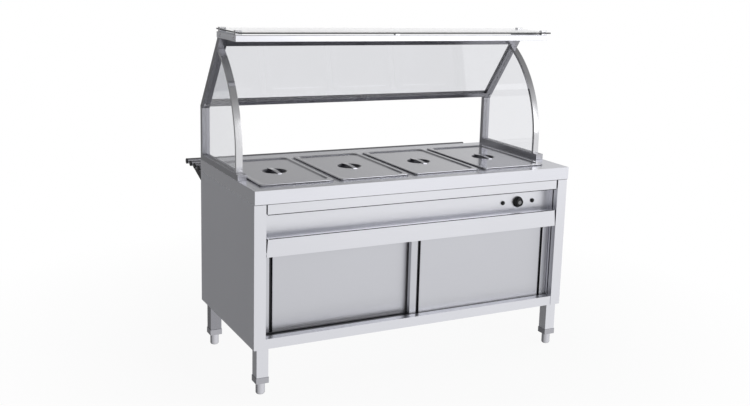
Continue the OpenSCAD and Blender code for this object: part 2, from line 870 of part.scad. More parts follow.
// Clamp on the shelf frame that grips the glass shelf's end
module glass_clip(side, y) {
    x = side < 0 ? -half_l : half_l - clip_w;
    slot_x = side < 0 ? -half_l + clip_wall : half_l - clip_w - 1;
    difference() {
        span_box([x, y - clip_d / 2, frame_z + tube_d],
            [x + clip_w, y + clip_d / 2, frame_z + tube_d + clip_h]);
        span_box([slot_x, y - clip_d / 2 - 1, shelf_z_low],
            [slot_x + clip_w - clip_wall + 1, y + clip_d / 2 + 1, shelf_z_low + glass_t]);
    }
}

// Glass clamps, the middle rest and the screws of the canopy's joints
module canopy_fixings() {
    rest = [-40, -20, 4, 20];
    screw_z = post_z + arm_screw_rise;
    color("dimgray") {
        for (s = [-1, 1], y = [frame_front_y + clip_inset, frame_rear_y - clip_back]) {
            glass_clip(s, y);
        }
        span_box([rest[0], frame_front_y + rest[2], frame_z + tube_d],
            [rest[1], frame_front_y + rest[3], shelf_z_low]);
        for (s = [-1, 1], y = [frame_front_y + screw_inset, frame_rear_y - screw_back]) {
            translate([s * half_l, y, frame_z + tube_d / 2]) rotate([0, s * 90, 0])
                cylinder(d = screw_dia, h = screw_t);
        }
        for (s = [-1, 1]) {
            translate([s * (tube_x + tube_w / 4), arm_front_at(screw_z), screw_z])
                rotate([90 + arm_lean, 0, 0])
                cylinder(d = screw_dia, h = arm_screw_t);
        }
    }
}

// Four tubes that trays slide along
module tray_tubes() {
    color("silver") for (i = [0 : slide_tubes - 1]) {
        translate([-half_l + cap_t, rear_y + slide_gap + i * slide_pitch, slide_z])
            rotate([0, 90, 0]) difference() {
            cylinder(d = slide_tube_dia, h = body_l - 2 * cap_t);
            translate([0, 0, -1]) cylinder(d = slide_bore, h = body_l);
        }
    }
}

// Plastic caps in the tubes' ends
module tray_end_caps() {
    color("black") for (i = [0 : slide_tubes - 1], s = [-1, 1]) {
        translate([s * half_l, rear_y + slide_gap + i * slide_pitch, slide_z]) rotate([0, -s * 90, 0]) {
            cylinder(d = slide_tube_dia, h = cap_t);
            cylinder(d = slide_bore - plug_clear, h = cap_t + cap_plug_l);
        }
    }
}

// Plates on the back that carry the tubes in saddles
module tray_brackets() {
    reach = tray_reach - slide_tube_dia / 2;
    top_z = slide_z - slide_tube_dia / 2 + saddle_h;
    color("dimgray") for (x = [-half_l + bracket_inset, 0, half_l - bracket_inset]) {
        difference() {
            side_slab(x, bracket_t) polygon([
                [rear_y, top_z], [rear_y + reach + bracket_over, top_z],
                [rear_y + reach + bracket_over, top_z - bracket_tip], [rear_y, top_z - bracket_h]
            ]);
            for (i = [0 : slide_tubes - 1]) {
                translate([x - 10, rear_y + slide_gap + i * slide_pitch, slide_z]) rotate([0, 90, 0])
                    cylinder(d = slide_tube_dia, h = 20);
            }
            span_box([x - bracket_t, rear_y - 1, apron_z - 1],
                [x + bracket_t, rear_y + bracket_foot_t, top_z + 1]);
        }
        span_box([x - bracket_foot_w / 2, rear_y, top_z - bracket_h - bracket_over],
            [x + bracket_foot_w / 2, rear_y + bracket_foot_t, apron_z - 2]);
    }
}

// Pan that rests on its rim in the well
module pan(i) {
    body_w = pan_w - 2 * body_inset;
    body_len = pan_l - 2 * body_inset;
    color("silver") translate([well_x + (i - (pans + 1) / 2) * pan_pitch, well_mid_y, 0]) difference() {
        union() {
            round_slab(pan_w, pan_l, pan_rim_r, worktop_h, pan_sheet);
            round_slab(body_w, body_len, pan_body_r, worktop_h - pan_depth, pan_depth + pan_sheet);
        }
        round_slab(body_w - 2 * pan_sheet, body_len - 2 * pan_sheet, pan_body_r - pan_sheet,
            worktop_h - pan_depth + pan_sheet, pan_depth + 1);
    }
}

// Lid with a raised rim, a sunk panel, a dish and a strap handle over it
module lid(i) {
    seat_z = worktop_h + pan_sheet;
    sunk_z = seat_z + pan_sheet;
    rim_w = pan_w - 2 * lid_side_gap;
    rim_l = pan_l - 2 * lid_end_gap;
    sunk_w = pan_w - 2 * (body_inset + pan_sheet + sunk_gap);
    sunk_l = pan_l - 2 * (body_inset + pan_sheet + sunk_gap);
    dish_z = sunk_z - dish_h;
    dish_low = dish_dia * dish_taper;
    strap_l = dish_dia + 2 * strap_over;
    color("lightgray") translate([well_x + (i - (pans + 1) / 2) * pan_pitch, well_mid_y, 0]) {
        difference() {
            union() {
                difference() {
                    round_slab(rim_w, rim_l, pan_rim_r, seat_z, lid_rim_h);
                    round_slab(rim_w - 2 * pan_sheet, rim_l - 2 * pan_sheet, pan_rim_r - pan_sheet,
                        seat_z - 1, lid_rim_h + 1 - pan_sheet);
                }
                round_slab(sunk_w, sunk_l, sunk_r, seat_z, lid_rim_h);
                translate([0, 0, dish_z - pan_sheet])
                    cylinder(d1 = dish_low + 2 * pan_sheet, d2 = dish_dia + 2 * pan_sheet,
                        h = dish_h + pan_sheet);
            }
            round_slab(sunk_w - 2 * pan_sheet, sunk_l - 2 * pan_sheet, sunk_r - pan_sheet,
                sunk_z, lid_rim_h + 1);
            translate([0, 0, dish_z]) cylinder(d1 = dish_low, d2 = dish_dia, h = dish_h + 0.01);
        }
        span_box([-strap_w / 2, -strap_l / 2, sunk_z], [strap_w / 2, strap_l / 2, sunk_z + strap_t]);
    }
}

worktop();
well_crossbars();
water_tank();
heating_element();
thermostat();
drain_valve();
drain_lever();
side_panel(-1);  // side_panel_left
side_panel(1);  // side_panel_right
back_panel();
cabinet_floor();
cabinet_shelf();
stile(-1);  // stile_left
stile(1);  // stile_right
upper_fascia();
control_panel();
door_head_rail();
bottom_rail();
door_tracks();
door_left();
door_right();
knob();
indicator_lamps();
cable_gland();
leg(0);  // leg_front_left
leg(1);  // leg_front_right
leg(2);  // leg_rear_left
leg(3);  // leg_rear_right
leg_collars();
foot(0);  // foot_front_left
foot(1);  // foot_front_right
foot(2);  // foot_rear_left
foot(3);  // foot_rear_right
base_rail(-1);  // base_rail_left
base_rail(1);  // base_rail_right
post(-1);  // post_left
post(1);  // post_right
arm(-1);  // arm_left
arm(1);  // arm_right
arch(-1);  // arch_left
arch(1);  // arch_right
lower_cross_rail();
upper_cross_rail();
shelf_frame();
shelf_glass();
sloped_glass();
side_glass(-1);  // side_glass_left
side_glass(1);  // side_glass_right
canopy_fixings();
tray_tubes();
tray_end_caps();
tray_brackets();
pan(1);  // pan_1
pan(2);  // pan_2
pan(3);  // pan_3
pan(4);  // pan_4
lid(1);  // lid_1
lid(2);  // lid_2
lid(3);  // lid_3
lid(4);  // lid_4
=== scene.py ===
import json
import math

import bmesh
import bpy
from mathutils import Matrix, Vector


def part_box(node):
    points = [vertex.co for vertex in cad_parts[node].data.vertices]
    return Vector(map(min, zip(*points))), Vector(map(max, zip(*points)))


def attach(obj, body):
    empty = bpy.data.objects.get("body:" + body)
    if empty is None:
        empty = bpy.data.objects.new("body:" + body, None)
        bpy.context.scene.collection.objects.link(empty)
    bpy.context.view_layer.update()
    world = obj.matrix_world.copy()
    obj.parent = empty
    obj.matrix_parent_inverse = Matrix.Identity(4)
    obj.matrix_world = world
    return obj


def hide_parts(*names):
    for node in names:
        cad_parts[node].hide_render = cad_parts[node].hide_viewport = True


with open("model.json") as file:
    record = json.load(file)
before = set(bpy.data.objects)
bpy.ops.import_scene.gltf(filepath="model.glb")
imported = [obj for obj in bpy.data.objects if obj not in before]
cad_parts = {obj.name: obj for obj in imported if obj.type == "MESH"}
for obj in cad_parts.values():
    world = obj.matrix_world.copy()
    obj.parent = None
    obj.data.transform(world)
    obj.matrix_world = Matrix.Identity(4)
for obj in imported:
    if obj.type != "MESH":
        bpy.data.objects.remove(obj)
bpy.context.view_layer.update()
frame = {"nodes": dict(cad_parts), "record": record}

bl_info = {
    "name": "Heated Food Service Trolley",
    "version": (1, 0, 0),
    "blender": (4, 5, 0),
    "location": "3D View > Sidebar > Trolley",
    "description": "Builds the finish and the fine parts of a heated food service trolley on its frame",
    "category": "Add Mesh",
}

MM = 0.001
NODES = frame["nodes"]
BODY_OF = {node: body for body, nodes in frame["record"]["behaviour"]["bodies"].items() for node in nodes}
SLOT_OF = {part["node"]: part["material_slot"] for part in frame["record"]["subparts"]}
SMOOTH_ANGLE = math.radians(47)    # faces that meet at less are shaded as one
EDGE_ANGLE = math.radians(32)      # edges sharper than this are rounded
FLAT_ANGLE = math.radians(0.5)     # faces that meet at less are joined
MERGE_DISTANCE = 1e-6
ROUNDING_SEGMENTS = 2
BEND_STEPS = 6


# ---------------------------------------------------------------- sizes and colours

def length_property(name, description, value, low, high):
    """A length that is given in millimetres and kept in metres."""
    return bpy.props.FloatProperty(
        name=name, description=description, default=value * MM, min=low * MM, max=high * MM,
        subtype="DISTANCE", unit="LENGTH")


def colour_property(name, description, value):
    return bpy.props.FloatVectorProperty(
        name=name, description=description, default=value, size=3, min=0, max=1, subtype="COLOR")


class TrolleySizes(bpy.types.PropertyGroup):
    sheet: length_property("Pressed sheet", "Thickness of the pressed pans, lids and doors", 1.2, 0.5, 2)
    fold_radius: length_property("Fold radius", "Rounding of the folded sheet's edges", 0.4, 0.1, 0.5)
    tube_radius: length_property("Tube edge radius", "Rounding of the canopy's edges", 0.8, 0.2, 0.9)
    door_radius: length_property("Door bend radius", "Outer radius of the doors' bends", 3.2, 1.5, 5)
    screw_radius: length_property("Screw head radius", "Radius of the button head screws", 5, 2, 8)
    rivet_radius: length_property("Rivet head radius", "Radius of the blind rivets on the back", 3.6, 2, 6)
    weld_radius: length_property("Weld bead radius", "Radius of the weld beads round the legs", 1.5, 0.5, 3)
    # the beads are near black and paint the shadow lines in the joints and under the lids' rims
    shadow_bead_radius: length_property("Seal bead radius", "Radius of the beads in the cabinet's joints", 1.7, 0.5, 2.5)
    knob_ribs: bpy.props.IntProperty(
        name="Knob ribs", description="Number of grip ribs round the knob", default=24, min=6, max=60)


class TrolleyColours(bpy.types.PropertyGroup):
    steel: colour_property("Steel", "Brushed sheet of the cabinet", (0.765, 0.77, 0.82))
    # front, door, tube and rail are the steel darkened as painted shade: a little for the front, more for the doors
    # in their recess and the tubes, most for the arms, cross rails and rear legs in shadow
    front: colour_property("Front steel", "Brighter rails, panels and legs of the front", (0.715, 0.72, 0.76))
    door: colour_property("Door steel", "Satin sheet of the doors", (0.575, 0.58, 0.615))
    tube: colour_property("Tube steel", "Brushed posts, base rails and tray tubes", (0.43, 0.43, 0.46))
    rail: colour_property("Rail steel", "Darker brushed arms, cross rails and rear legs", (0.30, 0.30, 0.325))
    pan: colour_property("Pan steel", "Rolled sheet of the pans and lids", (0.62, 0.62, 0.66))
    # dish: painted shade, the share of a lid's brightness kept in its deep drawn dish
    dish: colour_property("Lid dish", "Share of a lid's brightness left in its dish", (0.26, 0.26, 0.27))
    # pull: painted shade inside the doors' finger pulls
    pull: colour_property("Pull lining", "Dark lining of the doors' finger pulls", (0.05, 0.05, 0.055))
    polish: colour_property("Polished steel", "Mirror polished arches and clamps", (0.66, 0.66, 0.68))
    # glass and side glass are one clear glass tinted grey as painted shade, the shelf and leaning pane more
    glass: colour_property("Glass", "Clear glass of the shelf and the leaning pane", (0.79, 0.795, 0.82))
    side_glass: colour_property("Side glass", "Clear glass of the two sides", (0.87, 0.875, 0.90))
    # the glass edge colour is painted shade on the panes' ground edges
    glass_edge_shade: colour_property("Glass edge", "Ground edge of the glass", (0.03, 0.035, 0.035))
    black: colour_property("Black plastic", "Knob, lamps, tube caps and cable gland", (0.012, 0.012, 0.013))
    # mark: the knob's mark, its grey partly a painted highlight
    mark: colour_property("Knob mark", "Grey mark on the knob", (0.34, 0.34, 0.35))
    # the bead colour is painted shadow: beads in the joints and under the lids' rims
    shadow_bead: colour_property("Seal rubber", "Beads in the joints and round the lids", (0.05, 0.05, 0.055))
    bracket: colour_property("Bracket paint", "Dark powder coat of the tray brackets", (0.035, 0.035, 0.04))
    brass: colour_property("Brass", "Body of the drain valve", (0.70, 0.56, 0.28))
    lever: colour_property("Lever enamel", "Red enamel of the drain lever", (0.50, 0.03, 0.025))
    # aluminium: the tracks' near black colour is painted shade under the doors
    aluminium: colour_property("Track aluminium", "Dark anodised tracks of the doors", (0.14, 0.14, 0.15))
    heater: colour_property("Heater sheath", "Heat tinted sheath of the element", (0.26, 0.25, 0.25))
    case: colour_property("Thermostat case", "Moulded case of the thermostat", (0.80, 0.80, 0.76))


def sizes():
    return bpy.context.scene.trolley_sizes


def colours():
    return bpy.context.scene.trolley_colours


# ---------------------------------------------------------------- shader writing

BRUSH_ACROSS, BRUSH_ALONG = 900.0, 9.0     # lines per metre across the brush's way and along it
BRUSH_DEPTH = 0.04 * MM
SHEET_WAVE = 0.4 * MM                      # slow waves of the large sheets
LID_GRAIN = 0.03
LID_PANEL, LID_DISH = 4.8 * MM, 21.8 * MM  # how far a lid's panel and its dish's floor lie under its top


class Value:
    """A socket of a shader that can be used in an expression."""

    def __init__(self, shader, socket):
        self.shader = shader
        self.socket = socket

    def _maths(self, operation, first, second):
        return self.shader.node("ShaderNodeMath", {"operation": operation}, {0: first, 1: second})

    def __add__(self, other):
        return self._maths("ADD", self, other)

    def __radd__(self, other):
        return self._maths("ADD", other, self)

    def __sub__(self, other):
        return self._maths("SUBTRACT", self, other)

    def __rsub__(self, other):
        return self._maths("SUBTRACT", other, self)

    def __mul__(self, other):
        return self._maths("MULTIPLY", self, other)

    def __truediv__(self, other):
        return self._maths("DIVIDE", self, other)


class Shader:
    """Writes the nodes of one material or of the world."""

    def __init__(self, tree):
        self.tree = tree
        tree.nodes.clear()

    def node(self, kind, settings=None, values=None, output=0):
        made = self.tree.nodes.new(kind)
        for key, value in (settings or {}).items():
            if key == "stops":
                stops = made.color_ramp.elements
                while len(stops) < len(value):
                    stops.new(0.5)
                for stop, (place, tone) in zip(stops, value):
                    stop.position = place
                    stop.color = (tone, tone, tone, 1)
            else:
                setattr(made, key, value)
        for key, value in (values or {}).items():
            socket = made.inputs[key]
            if isinstance(value, Value):
                self.tree.links.new(value.socket, socket)
            else:
                socket.default_value = value
        return Value(self, made.outputs[output]) if len(made.outputs) else None

    def here(self):
        """Object coordinates."""
        return self.node("ShaderNodeTexCoord", output=3)

    def parts(self, vector):
        """The three parts of a vector."""
        split = self.node("ShaderNodeSeparateXYZ", {}, {0: vector}).socket.node
        return [Value(self, output) for output in split.outputs]

    def rays(self):
        """What a Light Path node tells, by name."""
        paths = self.node("ShaderNodeLightPath").socket.node
        return {output.name: Value(self, output) for output in paths.outputs}

    def capped(self, value):
        """The value, or one where it is more."""
        return self.node("ShaderNodeMath", {"operation": "MINIMUM"}, {0: value, 1: 1.0})

    def noise(self, size, detail, rough=0.55, stretch=(1, 1, 1)):
        """Noise on object coordinates. The pattern runs along the axis that is stretched least."""
        place = self.node("ShaderNodeMapping", {}, {"Vector": self.here(), "Scale": stretch})
        return self.node("ShaderNodeTexNoise", {"noise_dimensions": "3D"}, {
            "Vector": place, "Scale": size, "Detail": detail, "Roughness": rough})

    def brush_lines(self, along):
        """Fine lines along one axis."""
        stretch = [BRUSH_ACROSS] * 3
        stretch["XYZ".index(along)] = BRUSH_ALONG
        return self.noise(1.0, 2.0, stretch=tuple(stretch))

    def slow_change(self):
        """Slow change of polish from one end of a piece to the other."""
        return self.noise(2.3, 2.0)

    def ramp(self, value, stops):
        return self.node("ShaderNodeValToRGB", {"stops": stops}, {0: value})

    def tint(self, factor, low, high):
        return self.node("ShaderNodeMix", {"data_type": "RGBA"}, {0: factor, 6: (*low, 1), 7: (*high, 1)}, output=2)

    def brushed_colour(self, lines, slow, colour, grain):
        return self.tint(lines * 0.6 + slow * 0.4, shade(colour, 1 - grain), shade(colour, 1 + grain))

    def bump(self, height, strength):
        return self.node("ShaderNodeBump", {}, {"Height": height, "Distance": 1.0, "Strength": strength})


def material(name, values, settle):
    """A Principled material whose constants are in values; settle(shader) gives what varies over the surface."""
    made = bpy.data.materials.new(name)
    made.use_nodes = True
    shader = Shader(made.node_tree)
    surface = shader.node("ShaderNodeBsdfPrincipled", {}, {**values, **settle(shader)})
    shader.node("ShaderNodeOutputMaterial", {}, {"Surface": surface})
    return made


def shade(colour, share):
    return tuple(max(0.0, min(1.0, c * share)) for c in colour)


def brushed(name, colour, along, roughness, grain=0.05, wave=0.0):
    """Sheet with brush lines along one axis, a slow change of polish and faint handling marks."""
    def settle(shader):
        lines, slow = shader.brush_lines(along), shader.slow_change()
        marks = shader.ramp(shader.noise(17.0, 5.0, 0.7), [(0.55, 0.0), (0.78, 1.0)])
        return {
            "Base Color": shader.brushed_colour(lines, slow, colour, grain),
            "Roughness": roughness + (lines - 0.5) * 0.12 + (slow - 0.5) * 0.10 + marks * 0.03,
            "Normal": shader.bump(lines * BRUSH_DEPTH + slow * wave, 0.6),
        }
    return material(name, {"Metallic": 1.0}, settle)


def drawn_lid(name, colour, dish_shade, panel_z, dish_z):
    """Rolled sheet whose deep drawn dish, below the lid's panel, is rougher and darkened with painted shade."""
    def settle(shader):
        height = shader.parts(shader.here())[2]
        # dish marks the deep drawn dish, where the colour is darkened as painted shade and the sheet is rougher
        dish = shader.ramp((panel_z - height) / (panel_z - dish_z), [(0.0, 0.0), (0.08, 1.0)])
        lines, slow = shader.brush_lines("Y"), shader.slow_change()
        bright = shader.brushed_colour(lines, slow, colour, LID_GRAIN)
        return {
            "Base Color": shader.node("ShaderNodeMix", {"data_type": "RGBA", "blend_type": "MULTIPLY"},
                                      {0: dish, 6: bright, 7: (*dish_shade, 1)}, output=2),
            "Roughness": 0.15 + (lines - 0.5) * 0.10 + (slow - 0.5) * 0.08 + dish * 0.15,
            "Normal": shader.bump(lines * BRUSH_DEPTH, 0.6),
        }
    return material(name, {"Metallic": 1.0}, settle)


def moulded(name, colour, roughness, texture):
    """Plastic, rubber or paint with a fine moulded grain and a little wear in its gloss."""
    def settle(shader):
        grain, wear = shader.noise(1400.0, 2.0), shader.noise(60.0, 4.0)
        return {
            "Base Color": shader.tint(wear, shade(colour, 0.8), shade(colour, 1.25)),
            "Roughness": roughness + (wear - 0.5) * 0.2,
            "Normal": shader.bump(grain * texture, 0.5),
        }
    return material(name, {"Metallic": 0.0, "Specular IOR Level": 0.3}, settle)


def glass(name, colour, edge):
    """Clear pane: its ground edges, told by the piece's own attribute, are rougher than its faces and darkened as
    painted shade.
    """
    def settle(shader):
        side = shader.node("ShaderNodeAttribute", {"attribute_name": "ground_edge"}, output=2)
        mask = shader.ramp(side, [(0.80, 0.0), (0.92, 1.0)])
        smear = shader.ramp(shader.noise(3.5, 4.0, stretch=(1, 1, 3)), [(0.52, 0.0), (0.85, 1.0)])
        return {
            # the edges' near black is painted shade
            "Base Color": shader.tint(mask, colour, edge),
            "Roughness": mask * 0.35 + smear * 0.03 + 0.01,
        }
    return material(name, {"Metallic": 0.0, "IOR": 1.5, "Transmission Weight": 1.0}, settle)


def make_materials():
    c = colours()
    made = {}
    # the front, door, tube and rail kinds are darker copies of the sheet steel: painted shade
    for kind, colour, rough, wave in (
            ("sheet_steel", c.steel, 0.36, SHEET_WAVE), ("top_steel", c.steel, 0.22, 0.0),
            ("front_steel", c.front, 0.36, 0.0), ("door_steel", c.door, 0.40, 0.0),
            ("tube_steel", c.tube, 0.30, 0.0), ("rail_steel", c.rail, 0.28, 0.0)):
        for along in "XYZ":
            name = f"{kind}_{along}"
            made[name] = brushed(name, tuple(colour), along, rough, wave=wave)
    # the pulls' and the door tracks' near black colours are painted shade
    for name, colour, along, rough, grain in (
            ("pan_steel", c.pan, "Y", 0.24, 0.03), ("pull_painted_shade", c.pull, "Z", 0.5, 0.05),
            ("polished_steel", c.polish, "Z", 0.11, 0.02), ("track_aluminium", c.aluminium, "X", 0.42, 0.05),
            ("heater_sheath", c.heater, "X", 0.5, 0.2), ("valve_brass", c.brass, "Z", 0.32, 0.12)):
        made[name] = brushed(name, tuple(colour), along, rough, grain)
    # the beads' colour is painted shadow, and the knob mark's grey is partly a painted highlight
    for name, colour, rough, texture in (
            ("black_plastic", c.black, 0.33, 0.06 * MM), ("shadow_bead_black", c.shadow_bead, 0.6, 0.1 * MM),
            ("bracket_paint", c.bracket, 0.5, 0.1 * MM), ("lever_enamel", c.lever, 0.25, 0.04 * MM),
            ("thermostat_case", c.case, 0.5, 0.08 * MM), ("knob_mark_and_highlight", c.mark, 0.45, 0.03 * MM)):
        made[name] = moulded(name, tuple(colour), rough, texture)
    # the panes' grey tints are painted shade
    for name, colour in (("pane_across", c.glass), ("pane_side", c.side_glass)):
        made[name] = glass(name, tuple(colour), tuple(c.glass_edge_shade))
    # the lid's dish colour is painted shade
    lid_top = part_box("lid_1")[1].z
    made["lid_steel"] = drawn_lid("lid_steel", tuple(c.pan), tuple(c.dish), lid_top - LID_PANEL, lid_top - LID_DISH)
    return made


MATERIALS = {}


# ---------------------------------------------------------------- mesh writing

def new_piece(name, verts, faces, finish, body, slot, replaced=(), thickness=0.0):
    mesh = bpy.data.meshes.new(name)
    mesh.from_pydata([tuple(v) for v in verts], [], faces)
    mesh.validate()
    return settle_piece(name, mesh, finish, body, slot, replaced, thickness)


def settle_piece(name, mesh, finish, body, slot, replaced=(), thickness=0.0):
    """Gives a mesh its finish and rides it on its body. An open sheet gets its thickness behind its faces."""
    piece = bpy.data.objects.new(name, mesh)
    bpy.context.scene.collection.objects.link(piece)
    mesh.materials.clear()
    mesh.materials.append(MATERIALS[finish])
    mesh.shade_smooth()
    mesh.set_sharp_from_angle(angle=SMOOTH_ANGLE)
    if thickness:
        modifier = piece.modifiers.new("thickness", "SOLIDIFY")
        modifier.thickness = thickness
        modifier.offset = -1
        modifier.use_even_offset = True
    modifier = piece.modifiers.new("flat_faces_stay_flat", "WEIGHTED_NORMAL")
    modifier.keep_sharp = True
    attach(piece, body)
    if replaced:
        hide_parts(*replaced)
    return piece


def open_edges(mesh_data):
    return sum(1 for e in mesh_data.edges if len(e.link_faces) != 2)


def skin(node, finish, width):
    """A copy of a frame node with its edges rounded, in place of the node."""
    work = bmesh.new()
    work.from_mesh(NODES[node].data)
    bmesh.ops.remove_doubles(work, verts=work.verts, dist=MERGE_DISTANCE)
    bmesh.ops.dissolve_limit(work, angle_limit=FLAT_ANGLE, verts=work.verts, edges=work.edges)
    sharp = [e for e in work.edges if len(e.link_faces) == 2 and e.calc_face_angle(0) > EDGE_ANGLE]
    bmesh.ops.bevel(work, geom=sharp, offset=width, offset_type="OFFSET", segments=ROUNDING_SEGMENTS,
                    profile=0.5, affect="EDGES", clamp_overlap=True)
    if open_edges(work):
        raise RuntimeError(f"{node} came out open after its edges were rounded")
    mesh = bpy.data.meshes.new(node + "_finished")
    work.to_mesh(mesh)
    work.free()
    return settle_piece(node + "_finished", mesh, finish, BODY_OF[node], SLOT_OF[node], [node])


def paint(node, finish):
    """Gives a frame node that stays as it is its finish."""
    piece = NODES[node]
    if not piece.material_slots:
        piece.data.materials.append(None)
    for s in piece.material_slots:
        s.link = "OBJECT"
        s.material = MATERIALS[finish]


def corner_ring(width, length, radius, steps=8):
    """Points of a rectangle with round corners, about the origin."""
    points = []
    for turn, (sx, sy) in enumerate(((1, 1), (-1, 1), (-1, -1), (1, -1))):
        for k in range(steps + 1):
            a = math.radians(90) * (turn + k / steps)
            points.append((sx * (width / 2 - radius) + radius * math.cos(a),
                           sy * (length / 2 - radius) + radius * math.sin(a)))
    return points


def middle_of(ring):
    return sum((Vector(v) for v in ring), Vector((0, 0, 0))) / len(ring)


def pressed(rings):
    """Faces of a pressed sheet through rings of as many points each, shut by a point at the middle."""
    n = len(rings[0])
    verts = [v for ring in rings for v in ring] + [middle_of(rings[-1])]
    faces = []
    for i in range(len(rings) - 1):
        for k in range(n):
            a, b = i * n + k, i * n + (k + 1) % n
            faces.append((a, b, b + n, a + n))
    last = (len(rings) - 1) * n
    faces += [(last + k, last + (k + 1) % n, len(verts) - 1) for k in range(n)]
    return verts, faces


def arc(centre, radius, start, end, steps=BEND_STEPS):
    """Points of an arc between two angles in degrees."""
    turns = [math.radians(start + (end - start) * k / steps) for k in range(steps + 1)]
    return [(centre[0] + radius * math.cos(a), centre[1] + radius * math.sin(a)) for a in turns]


def bead(name, path, radius, closed, finish, body, slot, sides=10):
    """Round bead along a level path of points, shut into a ring or ended flat."""
    up = Vector((0, 0, 1))
    verts, faces, n = [], [], len(path)
    for k, here in enumerate(path):
        before = path[k - 1] if closed or k else here
        after = path[(k + 1) % n] if closed or k < n - 1 else here
        side = (Vector(after) - Vector(before)).normalized().cross(up)
        verts += [Vector(here) + radius * (math.cos(math.tau * i / sides) * side
                                           + math.sin(math.tau * i / sides) * up) for i in range(sides)]
    for k in range(n if closed else n - 1):
        m = (k + 1) % n
        faces += [(k * sides + i, m * sides + i, m * sides + (i + 1) % sides, k * sides + (i + 1) % sides)
                  for i in range(sides)]
    if not closed:
        faces += [tuple(range(sides)), tuple(range((n - 1) * sides, n * sides))[::-1]]
    return new_piece(name, verts, faces, finish, body, slot)


# ---------------------------------------------------------------- repeated parts by geometry nodes

SOCKET_SHARE = 0.48    # a screw's socket to its head


class Tree:
    """Writes a geometry node tree with named inputs."""

    def __init__(self, name, inputs):
        self.tree = bpy.data.node_groups.new(name, "GeometryNodeTree")
        add = self.tree.interface.new_socket
        add(name="Geometry", in_out="OUTPUT", socket_type="NodeSocketGeometry")
        self.sockets = {each: add(name=each, in_out="INPUT", socket_type="NodeSocket" + kind).identifier
                        for each, kind in inputs.items()}
        self.given = dict(zip(inputs, self.tree.nodes.new("NodeGroupInput").outputs))

    def node(self, kind, settings=None, values=None, output=0):
        made = self.tree.nodes.new(kind)
        for key, value in (settings or {}).items():
            setattr(made, key, value)
        for key, value in (values or {}).items():
            if isinstance(value, bpy.types.NodeSocket):
                self.tree.links.new(value, made.inputs[key])
            else:
                made.inputs[key].default_value = value
        return made.outputs[output]

    def end(self, geometry):
        leave = self.tree.nodes.new("NodeGroupOutput")
        real = self.node("GeometryNodeRealizeInstances", {}, {0: geometry})
        done = self.node("GeometryNodeSetMaterial", {}, {0: real, "Material": self.given["Material"]})
        self.tree.links.new(done, leave.inputs[0])


def repeat_tree(name, recess):
    """Puts one round head on each point, turned to the point's direction; recess cuts a six sided socket."""
    tree = Tree(name, {"Geometry": "Geometry", "Radius": "Float", "Height": "Float", "Material": "Material"})
    ball = tree.node("GeometryNodeMeshUVSphere", {}, {"Segments": 24, "Rings": 12, "Radius": tree.given["Radius"]})
    flat = tree.node("ShaderNodeMath", {"operation": "DIVIDE"}, {0: tree.given["Height"], 1: tree.given["Radius"]})
    size = tree.node("ShaderNodeCombineXYZ", {}, {0: 1.0, 1: 1.0, 2: flat})
    head = tree.node("GeometryNodeTransform", {}, {"Geometry": ball, "Scale": size})
    if recess:
        across = tree.node("ShaderNodeMath", {"operation": "MULTIPLY"}, {0: tree.given["Radius"], 1: SOCKET_SHARE})
        key = tree.node("GeometryNodeMeshCylinder", {}, {
            "Vertices": 6, "Radius": across, "Depth": tree.given["Height"]})
        lift = tree.node("ShaderNodeCombineXYZ", {}, {2: tree.given["Height"]})
        key = tree.node("GeometryNodeTransform", {}, {"Geometry": key, "Translation": lift})
        head = tree.node("GeometryNodeMeshBoolean", {"operation": "DIFFERENCE"}, {0: head, 1: key})
    spots = tree.node("GeometryNodeMeshToPoints", {}, {0: tree.given["Geometry"]})
    facing = tree.node("GeometryNodeInputNamedAttribute", {"data_type": "FLOAT_VECTOR"}, {"Name": "facing"})
    turned = tree.node("FunctionNodeAlignRotationToVector", {"axis": "Z"}, {"Vector": facing})
    heads = tree.node("GeometryNodeInstanceOnPoints", {}, {"Points": spots, "Instance": head, "Rotation": turned})
    tree.end(heads)
    return tree


def bake(tree, name, spots, values, finish, body, slot):
    """Runs a tree on points, each (place, direction), and keeps the result as one plain mesh."""
    seed = bpy.data.meshes.new(name + "_spots")
    seed.from_pydata([tuple(place) for place, _ in spots], [], [])
    facing = seed.attributes.new("facing", "FLOAT_VECTOR", "POINT")
    for k, (_, direction) in enumerate(spots):
        facing.data[k].vector = Vector(direction).normalized()
    holder = bpy.data.objects.new(name + "_holder", seed)
    bpy.context.scene.collection.objects.link(holder)
    modifier = holder.modifiers.new("repeat", "NODES")
    modifier.node_group = tree.tree
    for key, value in {**values, "Material": MATERIALS[finish]}.items():
        modifier[tree.sockets[key]] = value
    evaluated = holder.evaluated_get(bpy.context.evaluated_depsgraph_get())
    mesh = bpy.data.meshes.new_from_object(evaluated)
    mesh.name = name
    if not mesh.polygons:
        raise RuntimeError(f"{name} came out empty")
    holder.modifiers.clear()
    bpy.data.objects.remove(holder)
    return settle_piece(name, mesh, finish, body, slot)


# ---------------------------------------------------------------- operators

class PieceOperator:
    bl_options = {"REGISTER", "UNDO"}


